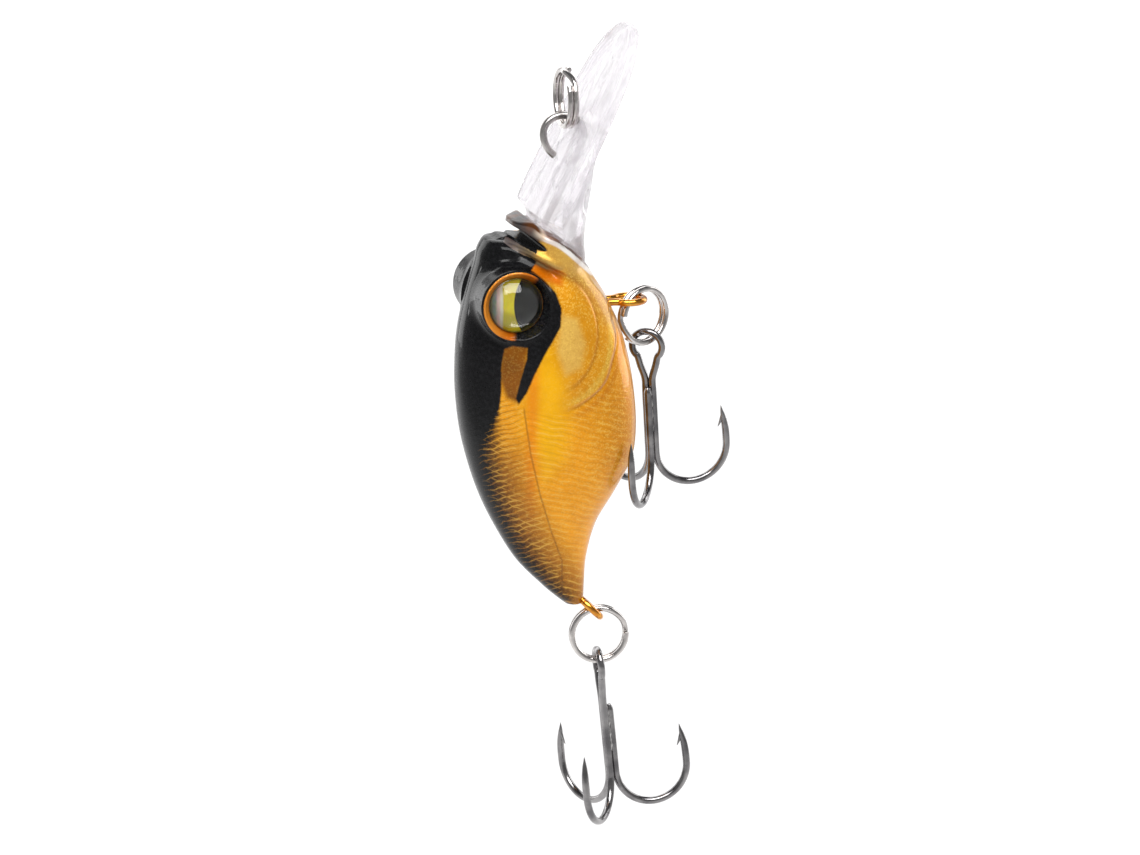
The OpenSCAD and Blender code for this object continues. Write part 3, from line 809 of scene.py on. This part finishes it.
def lip_material():
    m = Mat("lip_polycarbonate")
    v = m.mm()
    n1 = m.noise(m.vmath("MULTIPLY", v, (0.9, 0.9, 0.25)), 0.7, 3, 0.5, 0.8)
    n2 = m.noise(v, 14.0, 2, 0.5)
    tint = m.mix(m.ramp(n1, 0.35, 0.7), srgb(239, 232, 240), srgb(252, 249, 252))
    scr = m.noise(m.vmath("MULTIPLY", v, (9.0, 9.0, 0.5)), 1.0, 3, 0.5)
    nrm = m.bump(m.math("MULTIPLY_ADD", scr, 0.12, m.math("MULTIPLY_ADD", n2, 0.04, n1)), 0.0003, 0.22)
    X, Y, Z = m.xyz(v)
    s = m.math("MULTIPLY_ADD", X, float(LIP_S[0]), m.math("MULTIPLY", Z, float(LIP_S[2])))
    core = m.math("MULTIPLY", m.ramp(m.math("ABSOLUTE", Y), 2.6, 0.4), m.ramp(s, -1.5, -6.5))
    alpha = m.math("MULTIPLY_ADD", core, 0.15, m.math("MULTIPLY_ADD", m.ramp(n1, 0.35, 0.7), 0.12, 0.62))
    bs = m.bsdf(Base_Color=tint, Roughness=m.math("MULTIPLY_ADD", n1, 0.12, 0.03), IOR=1.42, Transmission_Weight=0.70, Normal=nrm,
                Alpha=alpha)
    return m.done(bs.outputs[0])


dress(lip, lip_material(), "clear_lip", "lure_body", "diving_lip")


# ------------------------------------------------------------------ metals
def metal(name, lo, hi, rough, grain=(12, 12, 1.5), depth=0.00001, spread=0.10, coat=0.0, wear=None, big=0.6, buried=False):
    m = Mat(name)
    v = m.mm()
    n1 = m.noise(v, big, 4, 0.55)
    n2 = m.noise(v, 7.0, 3, 0.6)
    n3 = m.noise(m.vmath("MULTIPLY", v, grain), 1.0, 2, 0.5)
    c = m.mix(m.ramp(n1, 0.3, 0.7), lo, hi)
    if wear:
        w = m.ramp(m.math("MULTIPLY_ADD", n2, 0.35, n1), wear[1], wear[1] + 0.08)
        c = m.mix(w, c, wear[0])
    r = m.math("MULTIPLY_ADD", n2, spread, rough - spread / 2)
    nrm = m.bump(m.math("MULTIPLY_ADD", n3, 0.6, n2), depth, 0.6)
    kw = dict(Base_Color=c, Metallic=1.0, Roughness=r, Normal=nrm)
    if buried:
        # moulded-in part, paler behind the plastic
        X, Y, Z = m.xyz(v)
        deep = m.math("MULTIPLY_ADD", X, float(LIP_N[0]), m.math("MULTIPLY", Z, float(LIP_N[2])))
        deep = m.ramp(m.math("SUBTRACT", deep, float(LIP_O @ LIP_N)), 0.05, 0.5)
        kw["Base_Color"] = m.mix(deep, c, (0.82, 0.80, 0.83))
        kw["Metallic"] = m.math("SUBTRACT", 1.0, deep)
    if coat:
        kw.update(Coat_Weight=coat, Coat_Roughness=0.05)
    return m.done(m.bsdf(**kw).outputs[0])


nickel = metal("bright_nickel", (0.52, 0.49, 0.475), (0.74, 0.71, 0.69), 0.11, spread=0.08)
steel = metal("line_tie_steel", (0.40, 0.38, 0.37), (0.60, 0.57, 0.55), 0.24, grain=(3, 3, 14), spread=0.14, buried=True)
lacquer = metal("gold_lacquer", srgb(196, 118, 22), srgb(238, 168, 50), 0.2, wear=((0.62, 0.58, 0.52), 0.93), coat=0.6)
black_nickel = metal("black_nickel", (0.15, 0.145, 0.15), (0.36, 0.35, 0.35), 0.11, spread=0.12, big=0.45)
braze = metal("braze", (0.28, 0.27, 0.27), (0.5, 0.49, 0.48), 0.3, spread=0.2, depth=0.00005)
tungsten = metal("weight_metal", (0.16, 0.16, 0.17), (0.28, 0.28, 0.29), 0.42, spread=0.2, depth=0.00003)
ball_steel = metal("ball_steel", (0.55, 0.55, 0.56), (0.68, 0.68, 0.69), 0.12)


# ------------------------------------------------------------------ rings
def split_ring(centre, ex, ey, ez, start):
    """Two turns of wire, round and a little squared in section, that step over between their ends."""
    r0, w = 2.68, 0.285
    th = np.radians(np.linspace(27, 693, 300))
    deg = np.degrees(th)
    off = w * (2 * sstep(336, 384, deg) - 1)
    a = th + rad(start)
    loc = np.stack([r0 * np.cos(a), r0 * np.sin(a), off], 1)
    V, F = sweep(loc, w, (math.cos(a[0]), math.sin(a[0]), 0), 20, None, True, 0.9)
    M = np.array([ex, ey, ez], float)
    return V @ M + np.array(centre, float), F


def bevelled(ob, mm, seg=2, angle=50):
    be = ob.modifiers.new("bevel", "BEVEL")
    be.width = mm * MM
    be.segments = seg
    be.limit_method = "ANGLE"
    be.angle_limit = rad(angle)
    return ob


def ring_basis(deg):
    c, s = math.cos(rad(deg)), math.sin(rad(deg))
    return (c, s, 0), (0, 0, 1), (s, -c, 0)


V, F = split_ring((0, 0, 0), (0, 1, 0), (0, 0, 1), (1, 0, 0), 118)
ring = bevelled(mesh_object("line_ring", V, F), 0.05)
dress(ring, nickel, "nickel_ring", "line_ring", "line_split_ring")
V, F = split_ring((8.05, 0.8, -22.1), *ring_basis(24), 200)
ring = bevelled(mesh_object("belly_ring", V, F), 0.05)
dress(ring, nickel, "nickel_ring", "belly_ring", "belly_split_ring")
V, F = split_ring((3.35, 0, -53.9), *ring_basis(-8), 30)
ring = bevelled(mesh_object("tail_ring", V, F), 0.05)
dress(ring, nickel, "nickel_ring", "tail_ring", "tail_split_ring")


# ------------------------------------------------------------------ wires
TIE = spline([[-2.4, -12.6], [-1.3, -10.4], [-0.2, -8.3], [0.8, -6.2], [1.5, -4.6], [1.75, -3.4], [1.4, -2.4], [0.6, -1.8],
              [-0.35, -1.65], [-1.25, -1.85], [-1.95, -2.4], [-2.25, -3.15], [-2.2, -3.9], [-1.98, -4.5], [-1.65, -5.05],
              [-1.15, -5.55]], 10)
V, F = sweep(np.stack([TIE[:, 0], 0 * TIE[:, 0], TIE[:, 1]], 1), 0.36, (0, 1, 0), 24)
dress(bevelled(mesh_object("line_tie", V, F), 0.07), steel, "tie_steel", "lure_body", "line_tie_wire")


def hanger(c, r, x0, leg):
    pts = [[x0, 1.15], [x0 + 0.45, leg + 0.1], [x0 + 1.2, leg], [c - r * 1.35, leg + 0.03]]
    pts += list(arc((c, 0), r, 144, -144, 28))
    pts += [[c - r * 1.35, -leg - 0.03], [x0 + 1.2, -leg], [x0 + 0.45, -leg - 0.1], [x0, -1.15]]
    return spline(pts, 4)


H = hanger(6.3, 1.5, 1.2, 0.7)
V, F = sweep(np.stack([H[:, 0], H[:, 1], np.full(len(H), -20.2)], 1), 0.35, (0, 0, 1), 24)
dress(mesh_object("belly_hanger", V, F), lacquer, "gold_wire", "lure_body", "belly_hanger_wire")
H = hanger(0, 1.4, -6.4, 0.42)
V, F = sweep(np.stack([2.4 + 0.7071 * H[:, 0], H[:, 1] * np.where(H[:, 0] < -5, 0.8, 1), -51.05 - 0.7071 * H[:, 0]], 1), 0.35,
             (0.7071, 0, 0.7071), 24)
dress(mesh_object("tail_hanger", V, F), lacquer, "gold_wire", "lure_body", "tail_hanger_wire")


# ------------------------------------------------------------------ eyes
def disc_stack(rings, sides=96):
    """A turned form from (radius, height) pairs, closed on its axis."""
    a = np.linspace(0, 2 * np.pi, sides, endpoint=False)
    V, F = [], []
    for r, h in rings:
        V += [(r * math.cos(t), r * math.sin(t), h) for t in a]
    n = len(rings)
    for i in range(n - 1):
        for k in range(sides):
            k2 = (k + 1) % sides
            F.append((i * sides + k, i * sides + k2, (i + 1) * sides + k2, (i + 1) * sides + k))
    F.append(tuple(range(sides - 1, -1, -1)))
    F.append(tuple(range((n - 1) * sides, n * sides)))
    return np.array(V), F


def eye_place(V, side):
    out = np.stack([V[:, 0], V[:, 2] * side, V[:, 1]], 1)
    return out + np.array([EYE[0], side * EYE[1], EYE[2]])


def foil_material():
    m = Mat("eye_foil_print")
    v = m.mm()
    X, Y, Z = m.xyz(v)
    u = m.math("SUBTRACT", X, float(EYE[0]))
    w = m.math("SUBTRACT", Z, float(EYE[2]))
    wob = m.math("MULTIPLY_ADD", m.noise(v, 1.2, 2), 0.16, -0.08)
    uu = m.math("ADD", u, wob)
    du = m.math("SUBTRACT", u, 4.47)
    dist = m.math("SQRT", m.math("MULTIPLY_ADD", du, du, m.math("MULTIPLY", w, w)))
    pupil = m.ramp(dist, 4.72, 4.64)
    pearl = m.mix(m.ramp(uu, -2.45, -2.05), srgb(150, 168, 158), srgb(176, 196, 190))
    pearl = m.mix(m.ramp(uu, -2.15, -1.75), pearl, srgb(248, 216, 212))
    pearl = m.mix(m.ramp(uu, -1.75, -1.45), pearl, srgb(252, 246, 232))
    c = m.mix(m.ramp(uu, -1.42, -1.2), pearl, srgb(226, 208, 40))
    fl = m.voronoi(m.vmath("MULTIPLY", v, (1.0, 1.0, 0.35)), 9.0, out="Color")
    c = m.mix(0.16, c, fl, "OVERLAY")
    c = m.mix(pupil, c, (0.006, 0.006, 0.006))
    rim = m.ramp(m.math("SQRT", m.math("MULTIPLY_ADD", u, u, m.math("MULTIPLY", w, w))), 2.42, 2.56)
    c = m.mix(m.math("MULTIPLY", rim, 0.6), c, srgb(90, 70, 20))
    inv = m.math("SUBTRACT", 1.0, pupil)
    nrm = m.bump(m.noise(m.vmath("MULTIPLY", v, (8.0, 8.0, 1.0)), 1.0, 2), 0.00001, 0.5)
    bs = m.bsdf(Base_Color=c, Metallic=m.math("MULTIPLY", inv, 0.35), Roughness=m.math("MULTIPLY_ADD", pupil, 0.1, 0.28), Normal=nrm,
                Specular_IOR_Level=0.08)
    return m.done(bs.outputs[0])


def lens_material():
    m = Mat("eye_lens_clear")
    v = m.mm()
    nrm = m.bump(m.noise(v, 0.9, 2, 0.4), 0.00004, 0.5)
    fr = m.n("Fresnel")
    m.put(fr.inputs["IOR"], 1.5)
    m.put(fr.inputs["Normal"], nrm)
    tr = m.n("BsdfTransparent")
    m.put(tr.inputs[0], m.mix(m.ramp(m.noise(v, 2.0, 2), 0.3, 0.8), (0.985, 0.985, 0.97), (0.96, 0.96, 0.94)))
    gl = m.n("BsdfGlossy")
    m.put(gl.inputs["Color"], (1, 1, 1))
    m.put(gl.inputs["Roughness"], 0.03)
    m.put(gl.inputs["Normal"], nrm)
    mx = m.n("MixShader")
    m.put(mx.inputs[0], fr.outputs[0])
    m.put(mx.inputs[1], tr.outputs[0])
    m.put(mx.inputs[2], gl.outputs[0])
    return m.done(mx.outputs[0])


foil_mat, lens_mat = foil_material(), lens_material()
RS = (2.65 ** 2 + 1.25 ** 2) / 2.5
dome = [(2.6, 0.0), (2.65, 0.03)] + [(RS * math.sin(t), 1.25 - RS * (1 - math.cos(t)))
                                     for t in np.linspace(math.asin(2.65 / RS) * 0.985, 0.004, 26)]
for side, nm in ((-1, "right"), (1, "left")):
    V, F = disc_stack([(2.58, -0.18), (2.65, -0.15), (2.65, -0.05), (2.6, -0.02), (0.01, -0.02)])
    dress(mesh_object(nm + "_eye_print", eye_place(V, side), F, smooth=False), foil_mat, "eye_foil", "lure_body", nm + "_eye_foil")
    V, F = disc_stack(dome)
    dress(mesh_object(nm + "_eye_dome", eye_place(V, side), F), lens_mat, "eye_lens", "lure_body", nm + "_eye_lens")


# ------------------------------------------------------------------ treble hooks
HW = 0.36
GAP = HW + 0.01
SIDE = [[6.80, -7.3, 0.02], [6.87, -7.8, 0.13], [6.96, -8.3, 0.23], [7.09, -9.1, 0.32], [7.18, -10.1, HW]]
SIDE += [[q[0], q[1], HW] for q in arc((3.6, -11.2), 3.6, 0, -180, 18)] + [[0, -9.6, HW]]


def side_pts(v, deg):
    c, s = math.cos(rad(deg)), math.sin(rad(deg))
    return [[v[0] + q[0] * c, v[1] + q[0] * s, q[1], q[2]] for q in SIDE]


def barb(v, deg):
    c, s = math.cos(rad(deg)), math.sin(rad(deg))
    pts = [(6.90, -8.3, 0.17), (6.80, -8.65, 0.17), (6.66, -9.0, 0.13), (6.50, -9.32, 0.07), (6.40, -9.5, 0.02)]
    p = np.array([[v[0] + q[0] * c, v[1] + q[0] * s, q[1], q[2]] for q in pts])
    p = spline(p, 4)
    return sweep(p[:, :3], p[:, 3], (-s, c, 0), 12, np.full(len(p), 0.8))


def hook_double():
    up_leg = [[0, GAP, -7.5, HW], [0, GAP, -5, HW], [0, GAP, -3.4, HW], [0, 0.75, -2.1, HW]]
    eye = [[0, q[0], q[1], HW * 0.97] for q in arc((0, 0), 1.5, -48, 228, 26)]
    dn_leg = [[0, -p[1], p[2], p[3]] for p in up_leg[::-1]]
    p = side_pts((0, GAP), 120) + up_leg + eye + dn_leg + side_pts((0, -GAP), -120)[::-1]
    p = spline(p, 4)
    parts = [sweep(p[:, :3], p[:, 3], (1, 0, 0), 20), barb((0, GAP), 120), barb((0, -GAP), -120)]
    return join(parts)


def hook_single():
    x = math.sqrt(3) * GAP
    p = side_pts((x, 0), 0) + [[x, 0, -7, HW], [x, 0, -5.2, HW], [x, 0, -4.6, HW * 0.9], [x - 0.06, 0, -4.2, HW * 0.5]]
    p = spline(p, 5)
    return join([sweep(p[:, :3], p[:, 3], (0, 1, 0), 20), barb((x, 0), 0)])


def braze_blob():
    z = np.linspace(-9.4, -4.3, 40)
    e = np.minimum((z + 9.4) / 0.9, (-4.3 - z) / 0.7).clip(0, 1)
    r = (0.40 + 0.035 * np.sin(z * 5.1) + 0.02 * np.sin(z * 11.3 + 1)) * np.sqrt(1 - (1 - e) ** 2 * 0.93)
    return sweep(np.stack([0.27 + 0.02 * np.sin(z * 3), 0 * z, z], 1), r, (1, 0, 0), 24)


def place(VF, deg, tx, ty, at):
    v = rotz(VF[0], deg)
    c, s = math.cos(rad(tx)), math.sin(rad(tx))
    v = np.stack([v[:, 0], v[:, 1] * c - v[:, 2] * s, v[:, 1] * s + v[:, 2] * c], 1)
    c, s = math.cos(rad(ty)), math.sin(rad(ty))
    v = np.stack([v[:, 0] * c + v[:, 2] * s, v[:, 1], -v[:, 0] * s + v[:, 2] * c], 1)
    return v + np.array(at, float), VF[1]


for nm, *pose in (("belly", -122, 6, -5, (8.5, 1.0, -25.23)), ("tail", -5, -3, -5, (3.35, 0, -57.08))):
    dress(mesh_object(nm + "_double_hook", *place(hook_double(), *pose)), black_nickel, "hook_steel", nm + "_hook", nm + "_hook_double")
    dress(mesh_object(nm + "_single_hook", *place(hook_single(), *pose)), black_nickel, "hook_steel", nm + "_hook", nm + "_hook_single")
    dress(mesh_object(nm + "_braze", *place(braze_blob(), *pose)), braze, "braze_metal", nm + "_hook", nm + "_hook_braze")

# ------------------------------------------------------------------ parts inside the body
for node, mat in (("belly_weight", tungsten), ("rattle_ball_back", ball_steel), ("rattle_ball_middle", ball_steel)):
    ob = bpy.data.objects[node]
    ob.data.materials.clear()
    ob.data.materials.append(mat)


# ------------------------------------------------------------------ floor and light
def emission_mat(name, col, strength):
    m = Mat(name)
    e = m.n("Emission")
    m.put(e.inputs[0], col)
    m.put(e.inputs[1], strength)
    return m.done(e.outputs[0])


# the floor glows: emission everywhere, plus more emission and a paler tone painted in a patch behind the lure that
# fades to the sides, towards the camera and with distance; a painted pool of light
m = Mat("floor_painted_light_pool")
v = m.mm()
df = m.n("BsdfDiffuse")
fx, fy, _ = m.xyz(v)
lat = m.math("ABSOLUTE", m.math("MULTIPLY_ADD", fx, 0.961, m.math("MULTIPLY", fy, -0.276)))
lat = m.math("MULTIPLY_ADD", m.math("MAXIMUM", fy, 0.0), -0.35, lat)
# the painted pool of light on the floor, and a further painted glow far back
lit = m.math("MULTIPLY", m.ramp(lat, 90.0, 150.0, 1.0, 0.0), m.ramp(fy, -150.0, 30.0))
painted_far_glow = m.math("MULTIPLY", lit, m.ramp(fy, 120.0, 520.0))
grain = m.ramp(m.noise(v, 0.02, 2), 0.3, 0.7)
m.put(df.inputs[0], m.mix(lit, m.mix(grain, (0.32, 0.32, 0.32), (0.33, 0.33, 0.33)), m.mix(grain, (0.36, 0.36, 0.36), (0.38, 0.38, 0.38))))
e = m.n("Emission")
m.put(e.inputs[0], (1, 1, 1))
m.put(e.inputs[1], m.math("MULTIPLY_ADD", painted_far_glow, 0.30, m.math("MULTIPLY_ADD", lit, 0.46, 0.17)))
ad = m.n("AddShader")
m.put(ad.inputs[0], df.outputs[0])
m.put(ad.inputs[1], e.outputs[0])
floor_mat = m.done(ad.outputs[0])
prof = [(0, -88), (640, -88)] + [(640 + 240 * math.sin(rad(t)), -88 + 240 * (1 - math.cos(rad(t)))) for t in range(6, 91, 6)] + [(880, 620)]
Vf, Ff = [(0, 0, -88)], []
for r, z in prof[1:]:
    Vf += [(r * math.cos(rad(q)), r * math.sin(rad(q)), z) for q in range(0, 360, 5)]
for k in range(72):
    Ff.append((0, 1 + k, 1 + (k + 1) % 72))
    for i in range(len(prof) - 2):
        o = 1 + 72 * i
        Ff.append((o + k, o + 72 + k, o + 72 + (k + 1) % 72, o + (k + 1) % 72))
floor = mesh_object("floor", Vf, Ff)
floor.data.materials.append(floor_mat)


def area(name, loc, target, sx, sy, radiance, col=(1, 1, 1)):
    ld = bpy.data.lights.new(name, "AREA")
    ld.shape = "RECTANGLE"
    ld.size, ld.size_y = sx * MM, sy * MM
    ld.energy = radiance * math.pi * ld.size * ld.size_y
    ld.color = col
    ob = link(bpy.data.objects.new(name, ld))
    ob.location = Vector(loc) * MM
    ob.rotation_mode = "QUATERNION"
    d = Vector(target) - Vector(loc)
    ob.rotation_quaternion = d.to_track_quat("-Z", "Y")
    return ob


mid = (0, 0, -32)
area("top_front", (-20, -300, 390), mid, 460, 300, 7.6)
area("key_left", (-210, -330, 300), mid, 130, 130, 4.0)
area("rim_left", (-190, 310, 10), mid, 150, 420, 2.0)
area("rim_right", (330, 120, 20), mid, 170, 420, 2.4)
area("back_top", (0, 380, 330), mid, 420, 260, 2.0)

world = bpy.data.worlds.new("studio")
world.use_nodes = True
bg = world.node_tree.nodes["Background"]
bg.inputs[0].default_value = (0.13, 0.13, 0.135, 1)
bg.inputs[1].default_value = 1.0
scene.world = world
scene.view_settings.view_transform = "Standard"
scene.view_settings.look = "None"
scene.view_settings.exposure = 0.0
